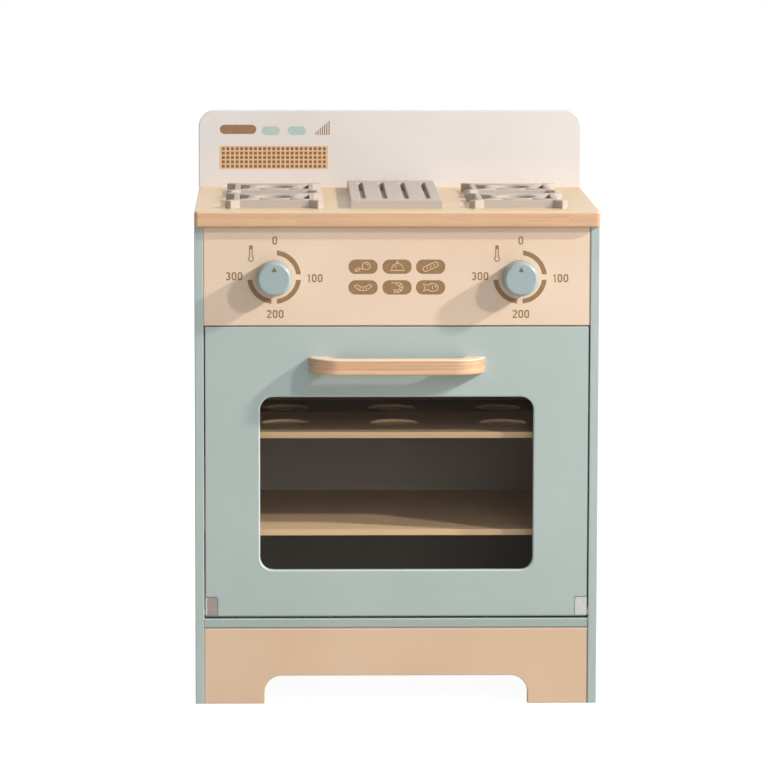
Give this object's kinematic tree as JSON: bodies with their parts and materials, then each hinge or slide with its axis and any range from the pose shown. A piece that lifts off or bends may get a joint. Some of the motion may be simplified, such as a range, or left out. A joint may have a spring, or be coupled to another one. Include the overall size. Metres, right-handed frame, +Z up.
{
  "type": "toy oven",
  "caption": "Wooden toy oven with a drop-down windowed door, turning knobs, shelves, a slotted griddle, burner grates and a splashback.",
  "frame": {"origin": "on the floor, in the middle of the width and of the depth from the handle to the back", "axes": "+X to the oven's right as seen from the front, +Y from the door to the back, +Z up"},
  "size_m": [0.4, 0.32, 0.5735],
  "materials": {
    "mint_paint": "MDF sprayed in matt pale mint green",
    "cream_paint": "MDF sprayed in matt warm beige",
    "white_paint": "MDF sprayed in matt warm white",
    "hob_paint": "MDF sprayed in matt warm light grey",
    "knob_paint": "turned wood sprayed in matt pale blue",
    "oiled_wood": "solid wood with a clear satin coat",
    "plain_wood": "plain light wood",
    "raw_mdf": "bare MDF, smooth and brown",
    "clear_acrylic": "clear, faintly smoked acrylic sheet",
    "zinc_steel": "zinc-plated steel, dull",
    "screw_steel": "zinc-plated steel screws",
    "nylon": "light grey nylon",
    "white_plastic": "white moulded plastic",
    "magnet_ferrite": "dark ferrite magnet",
    "brass": "turned brass"
  },
  "bodies": {
    "cabinet": {"side_panel_left": "mint_paint", "side_panel_right": "mint_paint", "bottom_board": "mint_paint", "plinth_board": "cream_paint", "oven_roof": "raw_mdf", "control_panel": "cream_paint", "back_panel": "raw_mdf", "worktop_cleat_left": "plain_wood", "worktop_cleat_right": "plain_wood", "worktop": "oiled_wood", "splashback": "white_paint", "griddle_plate": "hob_paint", "grate_front_left": "hob_paint", "grate_front_right": "hob_paint", "grate_back_left": "hob_paint", "grate_back_right": "hob_paint", "muffin_shelf": "plain_wood", "lower_shelf": "plain_wood", "hinge_bush_left": "nylon", "hinge_bush_right": "nylon", "catch_housing": "white_plastic", "catch_magnet": "magnet_ferrite", "catch_screws": "screw_steel", "side_screws_left": "screw_steel", "side_screws_right": "screw_steel", "back_screws": "screw_steel", "hob_screws": "screw_steel", "cleat_screws": "screw_steel", "worktop_dowels": "plain_wood", "splash_dowels": "plain_wood"},
    "door": {"door_panel": "mint_paint", "window_pane": "clear_acrylic", "door_handle": "oiled_wood", "hinge_plate_left": "zinc_steel", "hinge_plate_right": "zinc_steel", "hinge_pin_left": "screw_steel", "hinge_pin_right": "screw_steel", "hinge_screws": "screw_steel", "strike_plate": "zinc_steel", "strike_screws": "screw_steel", "pane_screws": "screw_steel", "handle_screws": "screw_steel"},
    "knob_left": {"knob_left": "knob_paint", "knob_insert_left": "brass", "knob_spacer_left": "nylon", "knob_washer_left": "screw_steel", "knob_screw_left": "screw_steel"},
    "knob_right": {"knob_right": "knob_paint", "knob_insert_right": "brass", "knob_spacer_right": "nylon", "knob_washer_right": "screw_steel", "knob_screw_right": "screw_steel"}
  },
  "joints": [
    {"name": "door_hinge", "type": "hinge", "parent": "cabinet", "child": "door", "pos_m": [0, -0.1275, 0.0925], "axis": [1, 0, 0], "range_deg": [0, 90]},
    {"name": "knob_left_turn", "type": "hinge", "parent": "cabinet", "child": "knob_left", "pos_m": [-0.1213, -0.132, 0.4277], "axis": [0, 1, 0], "continuous": true},
    {"name": "knob_right_turn", "type": "hinge", "parent": "cabinet", "child": "knob_right", "pos_m": [0.1213, -0.132, 0.4277], "axis": [0, 1, 0], "continuous": true}
  ]
}
